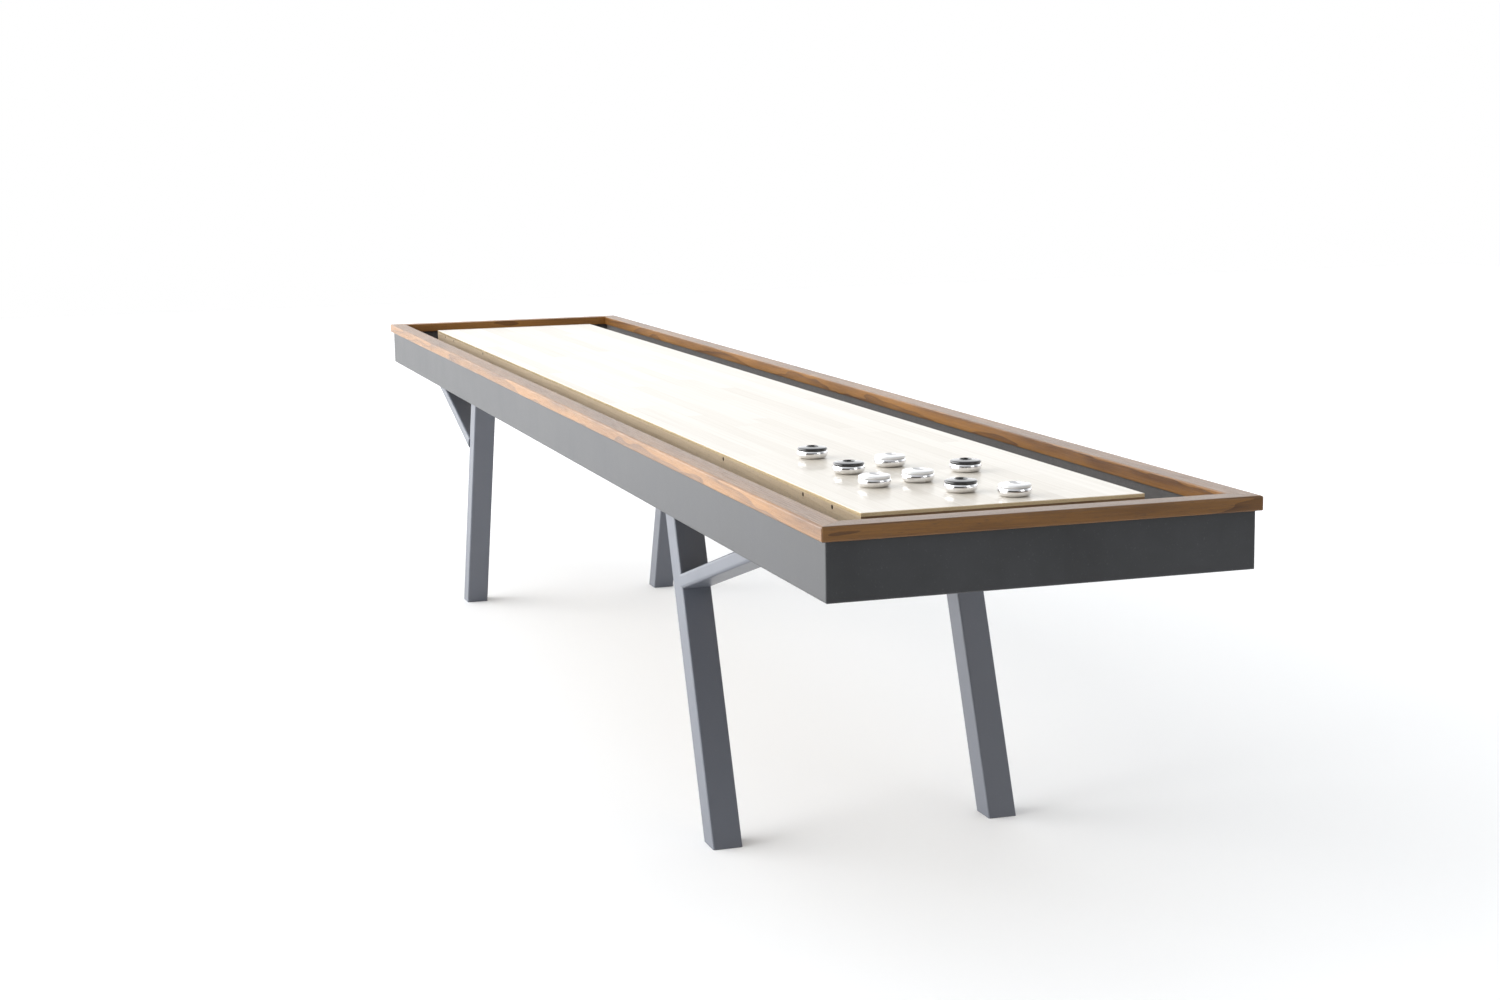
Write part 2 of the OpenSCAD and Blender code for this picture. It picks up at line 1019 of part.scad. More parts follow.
puck_at(black_at[2]) puck_cap(black_plastic);  // black_cap_3
puck_at(black_at[3]) puck_cap(black_plastic);  // black_cap_4
puck_at(white_at[0]) puck_body();  // white_puck_1
puck_at(white_at[1]) puck_body();  // white_puck_2
puck_at(white_at[2]) puck_body();  // white_puck_3
puck_at(white_at[3]) puck_body();  // white_puck_4
puck_at(white_at[0]) puck_cap(white_plastic);  // white_cap_1
puck_at(white_at[1]) puck_cap(white_plastic);  // white_cap_2
puck_at(white_at[2]) puck_cap(white_plastic);  // white_cap_3
puck_at(white_at[3]) puck_cap(white_plastic);  // white_cap_4
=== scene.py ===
from math import acos, asin, cos, pi, radians, sin, tan

import bmesh
import bpy
from bpy.props import FloatProperty, FloatVectorProperty, IntProperty, PointerProperty
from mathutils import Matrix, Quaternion, Vector


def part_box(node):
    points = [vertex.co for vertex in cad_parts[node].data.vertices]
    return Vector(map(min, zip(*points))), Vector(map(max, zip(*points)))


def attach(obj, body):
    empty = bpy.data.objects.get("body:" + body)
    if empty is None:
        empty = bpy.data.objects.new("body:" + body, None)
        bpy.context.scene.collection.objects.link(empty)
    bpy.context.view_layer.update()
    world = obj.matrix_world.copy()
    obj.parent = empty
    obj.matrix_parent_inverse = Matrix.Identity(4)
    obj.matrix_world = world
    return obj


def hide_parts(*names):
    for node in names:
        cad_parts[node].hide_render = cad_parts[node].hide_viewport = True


bl_info = {
    "name": "Shuffleboard Table",
    "version": (1, 0, 0),
    "blender": (4, 5, 0),
    "location": "3D View > Sidebar > Table",
    "description": "Builds the finished look of a long shuffleboard table around its engineering model",
    "category": "Object",
}

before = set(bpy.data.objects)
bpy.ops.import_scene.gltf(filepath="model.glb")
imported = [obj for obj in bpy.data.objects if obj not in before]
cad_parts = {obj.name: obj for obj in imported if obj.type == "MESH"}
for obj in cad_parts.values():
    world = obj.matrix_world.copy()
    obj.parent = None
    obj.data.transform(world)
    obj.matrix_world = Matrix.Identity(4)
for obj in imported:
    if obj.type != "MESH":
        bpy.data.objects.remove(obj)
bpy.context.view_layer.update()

NEAR = 2e-5  # two places closer than this are the same place
SMOOTH_ANGLE = radians(32)
FACES_UP = 0.8  # a face whose normal rises more than this is a top face
FACES_SIDE = 0.95  # a face whose normal points more than this sideways is a side of the slab
SLANTED = 0.6  # both level parts of the normal of a mitred face are larger than this
SKIN = 0.005  # how near a board's outside an edge lies that belongs to its outline
BAR_REACH = 1.0  # half the length of an uncut bar, longer than any leg or brace
CUT_PAST = 0.01  # how far a cutter reaches past what it cuts
RIM_ZONE = 1.5  # the rims of a cross hole lie within this many radii of its middle
BORE_ZONE = 2  # the walls of a cross hole lie within this many radii of its middle
FELT_EDGE = 0.3  # radius along the felt's top edge, as a part of its thickness
BOSS_EASE = 0.0004  # bevel round the top of a puck's boss
BORE_GAP = 0.0002  # room between the boss and the cap round it
RIM_SUNK = 0.7  # how deep the cap's top meets its rim, in rim radii
RIM_REACH = 0.9  # how far out from the rim's middle the dome ends, in rim radii
WELL_DEPTH = 3  # depth of the well's wall below the rim's top, in rim radii
SENSOR_WIDTH = 36
PLAIN = "_plain"  # put after the names of the plain materials, to leave them free for the finishes
FINISH_OF = {"board_maple": "slab_wood", "board_coat": "coat_top"}  # where a finish has another name
CORNERS = {
    "near_right": (1, 1),
    "near_left": (1, -1),
    "far_right": (-1, 1),
    "far_left": (-1, -1),
}
PUCKS = [f"{colour}_puck_{number}" for colour in ("black", "white") for number in (1, 2, 3, 4)]


# ---- sizes and colours that a user would change ----


def length(name, description, default):
    return FloatProperty(name=name, description=description, default=default, unit="LENGTH", precision=5)


def angle(name, description, degrees):
    return FloatProperty(name=name, description=description, default=radians(degrees), subtype="ANGLE")


def colour(name, description, default):
    return FloatVectorProperty(
        name=name, description=description, default=default, size=3, min=0, max=1, subtype="COLOR"
    )


def amount(name, description, default, low=0.0, high=1.0):
    return FloatProperty(name=name, description=description, default=default, min=low, max=high)


def steps(name, description, default):
    return IntProperty(name=name, description=description, default=default, min=1, max=128)


class RailSizes(bpy.types.PropertyGroup):
    """Sizes of the wooden rails."""

    top_round: length("Outer top round", "Radius along the outer top edge of a rail", 0.0045)
    low_round: length("Outer low round", "Radius along the outer bottom edge of a rail", 0.003)
    inner_round: length("Inner round", "Radius along the inner top edge of a rail", 0.002)
    mitre_ease: length("Mitre easing", "Bevel around the sawn face of each mitre", 0.0004)
    key_long: length("Key length", "Length of the loose key across a mitre", 0.028)
    key_wide: length("Key width", "Width of the loose key across a mitre", 0.018)
    key_thick: length("Key thickness", "Thickness of the loose key across a mitre", 0.004)
    key_gap: length("Key gap", "Room round the key in its slot", 0.0002)
    key_inset: length("Key inset", "How far the key's centre lies inside the middle of the rail", 0.001)
    corner_cut: length("Corner cut", "How far the sharp outer corner of a mitre is blunted", 0.0012)
    wood_light: colour("Light wood", "Colour of the pale wood between the rings", (0.36, 0.165, 0.038))
    wood_dark: colour("Dark wood", "Colour of the dark wood of the rings", (0.075, 0.027, 0.007))
    # Painted shade and light: the end boards are darker and brighter copies of the side rails' wood, standing
    # in for shade on the near end and light on the far end.
    near_painted_shade: amount("Near tone", "How dark the near end's board is beside the long rails", 0.74)
    far_painted_light: amount("Far tone", "How bright the far end's board is beside the long rails", 1.25, 0, 2)


class SteelSizes(bpy.types.PropertyGroup):
    """Sizes of the leg and brace tubes and the colour of the paint."""

    leg_lean: angle("Leg lean", "Angle of the leg from upright", 20.65)
    brace_rise: angle("Brace rise", "Angle of the brace above level", 16.4)
    tube: length("Leg tube", "Outside width of the square leg tube", 0.06)
    brace_thick: length("Brace thickness", "Thickness of the brace tube", 0.024)
    wall: length("Tube wall", "Wall of the leg and brace tubes", 0.003)
    tube_round: length("Tube round", "Radius on the long edges of the tubes", 0.004)
    paint: colour("Paint", "Colour of the powder coat on the case", (0.027, 0.028, 0.0305))
    # Painted light: the legs wear the case's powder coat; this lighter, bluer copy stands in for the light
    # that falls on them.
    leg_paint: colour("Leg paint", "Colour of the powder coat on the legs", (0.124, 0.134, 0.16))


class BoardSizes(bpy.types.PropertyGroup):
    """Sizes and colours of the playfield and its gutter."""

    slab_ease: length("Slab easing", "Bevel along the edges of the slab", 0.0008)
    cross_hole: length("Cross hole", "Radius of the cross holes in the slab", 0.004)
    hole_ease: length("Hole easing", "Worn edge round the mouth of a cross hole", 0.0008)
    second_hole: length("Second hole", "From the outermost cross hole to the next one", 0.149)
    third_hole: length("Third hole", "From the outermost cross hole to the third one", 0.621)
    coat_round: length("Coat round", "Radius along the top edges of the poured coat", 0.0015)
    stave: length("Stave width", "Width of one glued strip of the maple", 0.038)
    felt_thick: length("Felt thickness", "Thickness of the gutter felt", 0.003)
    felt_reach: length("Felt reach", "How far the felt reaches in under the slab", 0.016)
    maple_light: colour("Light maple", "Pale tone of the coated maple", (0.8, 0.755, 0.68))
    maple_dark: colour("Dark maple", "Deep tone of the coated maple", (0.6, 0.54, 0.45))
    side_light: colour("Light side", "Pale tone of the slab's bare sides", (0.66, 0.53, 0.375))
    side_dark: colour("Dark side", "Deep tone of the slab's bare sides", (0.53, 0.4, 0.25))
    felt: colour("Felt", "Colour of the gutter felt", (0.098, 0.093, 0.092))


class PuckSizes(bpy.types.PropertyGroup):
    """Sizes of the pucks."""

    bulge: length("Bulge radius", "Radius of the body's bulging side", 0.0095)
    seat: length("Seat height", "Height of the cap's seat above the running face", 0.0145)
    boss: length("Boss radius", "Radius of the boss in the middle of the cap", 0.0088)
    boss_top: length("Boss height", "Height of the boss above the running face", 0.02)
    crown: length("Crown radius", "Radius of the slightly domed top of a cap", 0.163)
    crown_rise: length("Crown rise", "How far the dome's top lies above the cap's flat height", 0.000245)
    edge_part: amount("Edge part", "Radius of a cap's outer edge, as a part of its height", 0.39, 0, 0.5)
    rim: length("Rim radius", "Radius of the raised rim round the boss, across its section", 0.001)
    round_steps: steps("Round steps", "Faces round a puck", 72)
    arc_steps: steps("Arc steps", "Faces along the bulge of a puck", 12)


class StageSettings(bpy.types.PropertyGroup):
    """Camera and light."""

    camera_place: FloatVectorProperty(
        name="Camera place",
        description="Where the camera stands",
        default=(5.33953, -1.50717, 1.35726),
        size=3,
        subtype="TRANSLATION",
        unit="LENGTH",
    )
    yaw: angle("Yaw", "Turn of the view from the table's length", 17.528)
    pitch: angle("Pitch", "Tilt of the view below level", -9.094)
    roll: angle("Roll", "Turn of the camera about its own view", -0.969)
    lens: FloatProperty(name="Lens", description="Focal length on a 36 mm wide sensor", default=54.274)
    floor_back: length("Floor back", "How far the floor reaches behind the table's centre", 14.0)
    floor_front: length("Floor front", "How far the floor reaches in front of the table's centre", 4.4)
    floor_side: length("Floor side", "How far the floor reaches to each side", 12.0)
    floor_paint: colour("Floor paint", "Colour of the floor", (0.86, 0.865, 0.87))
    floor_rough: amount("Floor roughness", "Roughness of the floor", 0.7)
    glow_near: amount("Near glow", "Light that the floor adds under the table", 0.1)
    glow_far: amount("Far glow", "Light that the floor adds far from the table", 0.5)
    sky: amount("Sky", "Strength of the light all round", 1.5, 0, 10)
    left: amount("Left", "Power of the large light on the left", 540.0, 0, 10000)
    top: amount("Top", "Power of the large light overhead", 60.0, 0, 10000)
    back: amount("Back", "Power of the light behind the far left corner", 70.0, 0, 10000)
    front: amount("Front", "Power of the light on the right of the camera", 26.0, 0, 10000)


# ---- modelling tools ----


def deselect():
    if bpy.context.object is not None and bpy.context.object.mode != "OBJECT":
        bpy.ops.object.mode_set(mode="OBJECT")
    bpy.ops.object.select_all(action="DESELECT")


def choose(obj):
    """Make one object the only selected and active one."""
    deselect()
    obj.select_set(True)
    bpy.context.view_layer.objects.active = obj


def settle(obj, name=None):
    """Move an object's place, turn and size into its mesh."""
    choose(obj)
    bpy.ops.object.transform_apply(location=True, rotation=True, scale=True)
    if name:
        obj.name = name
        obj.data.name = name
    return obj


def block(name, low, high):
    """A block between two corners, to be shaped further."""
    low, high = Vector(low), Vector(high)
    deselect()
    bpy.ops.mesh.primitive_cube_add(size=1, location=(low + high) / 2, scale=high - low)
    return settle(bpy.context.object, name)


def pick(obj, kind, test):
    """Open a piece in edit mode with only the parts that pass the test selected."""
    if bpy.context.object is not obj or obj.mode != "EDIT":
        choose(obj)
        bpy.ops.object.mode_set(mode="EDIT")
    bpy.ops.mesh.select_mode(type=kind)
    bpy.ops.mesh.select_all(action="DESELECT")
    mesh = bmesh.from_edit_mesh(obj.data)
    parts = {"VERT": mesh.verts, "EDGE": mesh.edges, "FACE": mesh.faces}[kind]
    found = [part for part in parts if test(part)]
    if not found:
        raise RuntimeError(f"{obj.name}: nothing to work on")
    for part in found:
        part.select_set(True)
    bmesh.update_edit_mesh(obj.data)


def close(obj):
    """Leave edit mode with every face turned outwards."""
    pick(obj, "FACE", lambda face: True)
    bpy.ops.mesh.normals_make_consistent(inside=False)
    bpy.ops.object.mode_set(mode="OBJECT")
    return obj


def runs_along(axis, place):
    """Test for the edges that run along an axis through a place."""
    others = [i for i in range(3) if i != axis]

    def test(edge):
        start, end = (v.co for v in edge.verts)
        straight = abs((end - start)[axis]) > 0.999 * (end - start).length
        return straight and all(abs(start[i] - place[i]) < NEAR for i in others)

    return test


def at_height(z):
    return lambda part: all(abs(v.co.z - z) < NEAR for v in part.verts)


def round_edges(obj, test, radius, segments=4):
    pick(obj, "EDGE", test)
    bpy.ops.mesh.bevel(offset=radius, segments=segments, affect="EDGES", clamp_overlap=True)


def saw(obj, point, normal, fill=True):
    """Cut away what lies beyond a plane, on the side that its normal points to."""
    pick(obj, "FACE", lambda face: True)
    bpy.ops.mesh.bisect(plane_co=point, plane_no=normal, use_fill=fill, clear_outer=True)


def use_modifier(obj, kind, **settings):
    """Add a modifier and apply it."""
    choose(obj)
    modifier = obj.modifiers.new(kind.title(), kind)
    for name, value in settings.items():
        setattr(modifier, name, value)
    bpy.ops.object.modifier_apply(modifier=modifier.name)


def cut_with(obj, *cutters):
    """Cut the shapes of other pieces out of a piece, and throw those away."""
    for cutter in cutters:
        use_modifier(obj, "BOOLEAN", object=cutter, operation="DIFFERENCE", solver="EXACT")
        bpy.data.objects.remove(cutter)


def rod(name, start, end, radius, sides=32):
    """A straight round rod between two points."""
    start, end = Vector(start), Vector(end)
    deselect()
    bpy.ops.mesh.primitive_cylinder_add(
        vertices=sides, radius=radius, depth=(end - start).length, location=(start + end) / 2
    )
    obj = bpy.context.object
    obj.rotation_euler = (end - start).to_track_quat("Z", "Y").to_euler()
    return settle(obj, name)


def turned(name, outline, sides):
    """A turned piece on the Z axis: a ring is extruded and resized along an outline of radius and height.

    An outline that comes back to its start is a ring with a hole. Any other is closed by a disc
    at each end."""
    deselect()
    radius, height = outline[0]
    bpy.ops.mesh.primitive_circle_add(vertices=sides, radius=radius, location=(0, 0, height))
    obj = settle(bpy.context.object, name)
    is_ring = outline[0] == outline[-1]
    pick(obj, "EDGE", lambda edge: True)
    if not is_ring:
        bpy.ops.mesh.edge_face_add()
        pick(obj, "EDGE", lambda edge: True)
    for (r0, z0), (r1, z1) in zip(outline, outline[1:]):
        bpy.ops.mesh.extrude_edges_move(TRANSFORM_OT_translate={"value": (0, 0, z1 - z0)})
        bpy.ops.transform.resize(value=(r1 / r0, r1 / r0, 1), center_override=(0, 0, z1))
    if is_ring:
        pick(obj, "VERT", lambda vert: True)
        bpy.ops.mesh.remove_doubles(threshold=NEAR / 4)
    else:
        bpy.ops.mesh.edge_face_add()
    return close(obj)


def arc(centre, radius, first, last, count):
    """Points along an arc, from one angle to another, both in radians."""
    turns = [first + (last - first) * i / count for i in range(count + 1)]
    return [(centre[0] + radius * cos(t), centre[1] + radius * sin(t)) for t in turns]


def copy_of(obj, name, move=(0, 0, 0), flip=(1, 1, 1)):
    """A copy with its own mesh, moved or mirrored."""
    twin = obj.copy()
    twin.data = obj.data.copy()
    bpy.context.scene.collection.objects.link(twin)
    twin.location = move
    twin.scale = flip
    settle(twin, name)
    return close(twin) if min(flip) < 0 else twin


def finish_piece(obj, body, nodes, slot, *materials):
    """Smooth and dress a finished piece, hang it on its body and let it stand for its nodes."""
    choose(obj)
    bpy.ops.object.shade_smooth_by_angle(angle=SMOOTH_ANGLE)
    use_modifier(obj, "WEIGHTED_NORMAL", weight=100, keep_sharp=True)
    obj.data.materials.clear()
    for material in materials:
        obj.data.materials.append(material)
    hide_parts(*nodes)
    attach(obj, body)
    return obj


# ---- shader tools ----


def add_node(tree, kind, links=None, values=None, **settings):
    """Add a node, then set its choices, its input values and its links."""
    made = tree.nodes.new(kind)
    for name, value in settings.items():
        setattr(made, name, value)
    for name, value in (values or {}).items():
        made.inputs[name].default_value = value
    for name, source in (links or {}).items():
        tree.links.new(source, made.inputs[name])
    return made


def maths(tree, operation, *terms):
    """A Math node on numbers or sockets; its output."""
    made = tree.nodes.new("ShaderNodeMath")
    made.operation = operation
    for socket, term in zip(made.inputs, terms):
        if isinstance(term, (int, float)):
            socket.default_value = term
        else:
            tree.links.new(term, socket)
    return made.outputs[0]


def plus(tree, first, second):
    return maths(tree, "ADD", first, second)


def times(tree, first, second):
    return maths(tree, "MULTIPLY", first, second)


def stretched(tree, vector, scale):
    """The vector times a scale for each axis."""
    return add_node(
        tree, "ShaderNodeVectorMath", {0: vector}, {1: scale}, operation="MULTIPLY"
    ).outputs[0]


def enlarged(tree, vector, factor):
    """The vector times one socket."""
    made = add_node(tree, "ShaderNodeVectorMath", {0: vector, "Scale": factor}, operation="SCALE")
    return made.outputs[0]


def random_tone(tree, kind, socket, source):
    """White noise of a number (1D, socket W) or of a vector (3D, socket Vector)."""
    made = add_node(tree, "ShaderNodeTexWhiteNoise", {socket: source}, noise_dimensions=kind)
    return made.outputs["Value"]


def noise(tree, vector, scale, detail=2.0, rough=0.5):
    """Noise on a vector stretched by a scale for each axis, centred on one half."""
    made = add_node(
        tree,
        "ShaderNodeTexNoise",
        {"Vector": stretched(tree, vector, scale)},
        {"Scale": 1.0, "Detail": detail, "Roughness": rough},
    )
    return made.outputs["Fac"]


def remap(tree, value, low, high, to_low=0.0, to_high=1.0):
    return add_node(
        tree,
        "ShaderNodeMapRange",
        {"Value": value},
        {"From Min": low, "From Max": high, "To Min": to_low, "To Max": to_high},
    ).outputs["Result"]


def blend_colours(tree, factor, first, second):
    """Mix two colours; each is a socket or three numbers."""
    made = tree.nodes.new("ShaderNodeMix")
    made.data_type = "RGBA"
    tree.links.new(factor, made.inputs[0])
    for index, value in ((6, first), (7, second)):
        if isinstance(value, bpy.types.NodeSocket):
            tree.links.new(value, made.inputs[index])
        else:
            made.inputs[index].default_value = (*value, 1)
    return made.outputs[2]


def new_group(name, inputs, outputs):
    """A shader node group with named sockets: the group, its inner inputs and its inner outputs."""
    group = bpy.data.node_groups.new(name, "ShaderNodeTree")
    for label, kind, default in inputs:
        socket = group.interface.new_socket(label, in_out="INPUT", socket_type=f"NodeSocket{kind}")
        if default is not None:
            socket.default_value = default
    for label, kind in outputs:
        group.interface.new_socket(label, in_out="OUTPUT", socket_type=f"NodeSocket{kind}")
    return group, group.nodes.new("NodeGroupInput").outputs, group.nodes.new("NodeGroupOutput").inputs


def wood_grain_group():
    """Growth rings about a far pith, fibres and pores; the grain runs along X."""
    group, given, out = new_group(
        "Wood Grain",
        [
            ("Vector", "Vector", None),
            ("Light", "Color", None),
            ("Dark", "Color", None),
            ("Ring", "Float", 0.008),
            ("Figure", "Float", 0.03),
            ("Gloss", "Float", 0.35),
        ],
        [("Color", "Color"), ("Roughness", "Float"), ("Height", "Float")],
    )
    place = given["Vector"]
    sway = maths(group, "SUBTRACT", noise(group, place, (1.6, 11, 11), 3), 0.5)
    wander = times(group, sway, given["Figure"])
    across = add_node(
        group, "ShaderNodeVectorMath", {0: stretched(group, place, (0.04, 1, 1))}, operation="LENGTH"
    ).outputs["Value"]
    ring = maths(group, "FRACT", maths(group, "DIVIDE", plus(group, across, wander), given["Ring"]))
    late = maths(group, "POWER", ring, 2.2)
    fibre = remap(group, noise(group, place, (16, 620, 620), 3), 0.3, 0.7)
    broad = remap(group, noise(group, place, (2.2, 26, 26), 3), 0.3, 0.72)
    pores = remap(group, noise(group, place, (70, 1500, 1500), 1), 0.62, 0.7)
    figure = plus(group, times(group, fibre, 0.22), times(group, broad, 0.46))
    tone = plus(group, times(group, late, 0.5), figure)
    wood = blend_colours(group, maths(group, "MINIMUM", tone, 1.0), given["Light"], given["Dark"])
    dark_pores = times(group, pores, 0.45)
    group.links.new(blend_colours(group, dark_pores, wood, (0.03, 0.014, 0.008)), out["Color"])
    group.links.new(plus(group, given["Gloss"], times(group, fibre, 0.12)), out["Roughness"])
    relief = maths(group, "SUBTRACT", times(group, fibre, 0.3), pores)
    group.links.new(relief, out["Height"])
    return group


def maple_staves_group():
    """Glued maple staves that run along X, each with its own tone and fine grain."""
    group, given, out = new_group(
        "Maple Staves",
        [
            ("Vector", "Vector", None),
            ("Light", "Color", None),
            ("Dark", "Color", None),
            ("Stave", "Float", 0.038),
        ],
        [("Color", "Color"), ("Height", "Float")],
    )
    place = given["Vector"]
    axes = add_node(group, "ShaderNodeSeparateXYZ", {0: place}).outputs
    row = maths(group, "DIVIDE", axes["Y"], given["Stave"])
    row_number = maths(group, "FLOOR", row)
    shift = random_tone(group, "1D", "W", row_number)
    column_number = maths(group, "FLOOR", plus(group, maths(group, "DIVIDE", axes["X"], 0.85), shift))
    pair = add_node(group, "ShaderNodeCombineXYZ", {"X": row_number, "Y": column_number}).outputs[0]
    tone = random_tone(group, "3D", "Vector", pair)
    grain = remap(group, noise(group, place, (2.4, 210, 210), 4), 0.32, 0.7)
    flecks = remap(group, noise(group, place, (60, 900, 900), 2), 0.6, 0.72)
    gap = maths(group, "PINGPONG", row, 0.5)
    seam = remap(group, gap, 0.0, 0.012, 1.0, 0.0)
    figure = plus(group, times(group, grain, 0.4), times(group, flecks, 0.15))
    mix = plus(group, times(group, tone, 0.5), figure)
    wood = blend_colours(group, maths(group, "MINIMUM", mix, 1.0), given["Light"], given["Dark"])
    seamed = blend_colours(group, times(group, seam, 0.35), wood, (0.42, 0.31, 0.2))
    group.links.new(seamed, out["Color"])
    group.links.new(plus(group, grain, seam), out["Height"])
    return group


def powder_coat_group():
    """The fine orange peel of baked powder paint, with faint dust and rubbed patches."""
    group, given, out = new_group(
        "Powder Coat",
        [("Vector", "Vector", None), ("Paint", "Color", None), ("Gloss", "Float", 0.4)],
        [("Color", "Color"), ("Roughness", "Float"), ("Height", "Float")],
    )
    place = given["Vector"]
    peel = noise(group, place, (900, 900, 900), 2)
    patches = remap(group, noise(group, place, (5, 5, 5), 4, 0.6), 0.35, 0.7)
    dust = remap(group, noise(group, place, (260, 260, 260), 3, 0.7), 0.62, 0.78)
    paler = blend_colours(group, times(group, patches, 0.16), given["Paint"], (0.12, 0.125, 0.14))
    dusty = blend_colours(group, times(group, dust, 0.1), paler, (0.4, 0.4, 0.4))
    group.links.new(dusty, out["Color"])
    group.links.new(plus(group, given["Gloss"], times(group, patches, 0.07)), out["Roughness"])
    group.links.new(peel, out["Height"])
    return group


def worn_metal_group():
    """Crystals or polish, fine scratches and dull patches of bare metal and plated parts."""
    group, given, out = new_group(
        "Worn Metal",
        [
            ("Vector", "Vector", None),
            ("Metal", "Color", None),
            ("Dull", "Color", None),
            ("Gloss", "Float", 0.1),
            ("Grain", "Float", 120.0),
        ],
        [("Color", "Color"), ("Roughness", "Float"), ("Height", "Float")],
    )
    scaled = enlarged(group, given["Vector"], given["Grain"])
    cells = add_node(group, "ShaderNodeTexVoronoi", {"Vector": scaled}, {"Scale": 1.0}).outputs["Color"]
    tone = add_node(group, "ShaderNodeSeparateXYZ", {0: cells}).outputs["X"]
    scratches = remap(group, noise(group, given["Vector"], (90, 1300, 500), 3, 0.7), 0.6, 0.75)
    worn = plus(group, times(group, tone, 0.35), times(group, scratches, 0.4))
    group.links.new(blend_colours(group, worn, given["Metal"], given["Dull"]), out["Color"])
    group.links.new(plus(group, given["Gloss"], times(group, worn, 0.1)), out["Roughness"])
    group.links.new(times(group, scratches, -1.0), out["Height"])
    return group


def fibres_group():
    """The mottled nap of felt, or the fine grain of moulded plastic."""
    group, given, out = new_group(
        "Nap",
        [
            ("Vector", "Vector", None),
            ("Light", "Color", None),
            ("Dark", "Color", None),
            ("Grain", "Float", 600.0),
        ],
        [("Color", "Color"), ("Height", "Float")],
    )
    scaled = enlarged(group, given["Vector"], given["Grain"])
    fine = noise(group, scaled, (1, 1, 1), 4, 0.7)
    tufts = noise(group, scaled, (0.12, 0.12, 0.12), 3, 0.6)
    lint = remap(group, noise(group, scaled, (0.7, 0.7, 0.7), 2, 0.8), 0.66, 0.74)
    pile = plus(group, times(group, fine, 0.6), times(group, tufts, 0.4))
    mix = remap(group, pile, 0.35, 0.65)
    nap = blend_colours(group, mix, given["Dark"], given["Light"])
    linty = blend_colours(group, times(group, lint, 0.25), nap, (0.5, 0.48, 0.45))
    group.links.new(linty, out["Color"])
    group.links.new(fine, out["Height"])
    return group


def dressed(name, group, values, bump, shader, turn=0.0, shift=(0, 0, 0)):
    """A material whose colour, roughness and relief come from a group on the piece's own coordinates."""
    material = bpy.data.materials.new(name)
    material.use_nodes = True
    tree = material.node_tree
    surface = tree.nodes["Principled BSDF"]
    for socket, value in shader.items():
        surface.inputs[socket].default_value = value
    place = tree.nodes.new("ShaderNodeTexCoord").outputs["Object"]
    moved = add_node(
        tree, "ShaderNodeMapping", {"Vector": place}, {"Rotation": (0, 0, turn), "Location": shift}
    ).outputs[0]
    pattern = add_node(tree, "ShaderNodeGroup", node_tree=group)
    tree.links.new(moved, pattern.inputs["Vector"])
    for socket, value in values.items():
        pattern.inputs[socket].default_value = (*value, 1) if hasattr(value, "__len__") else value
    tree.links.new(pattern.outputs["Color"], surface.inputs["Base Color"])
    if "Roughness" in pattern.outputs:
        tree.links.new(pattern.outputs["Roughness"], surface.inputs["Roughness"])
    relief = add_node(
        tree, "ShaderNodeBump", {"Height": pattern.outputs["Height"]}, {"Strength": 1.0, "Distance": bump}
    )
    tree.links.new(relief.outputs[0], surface.inputs["Normal"])
    return material


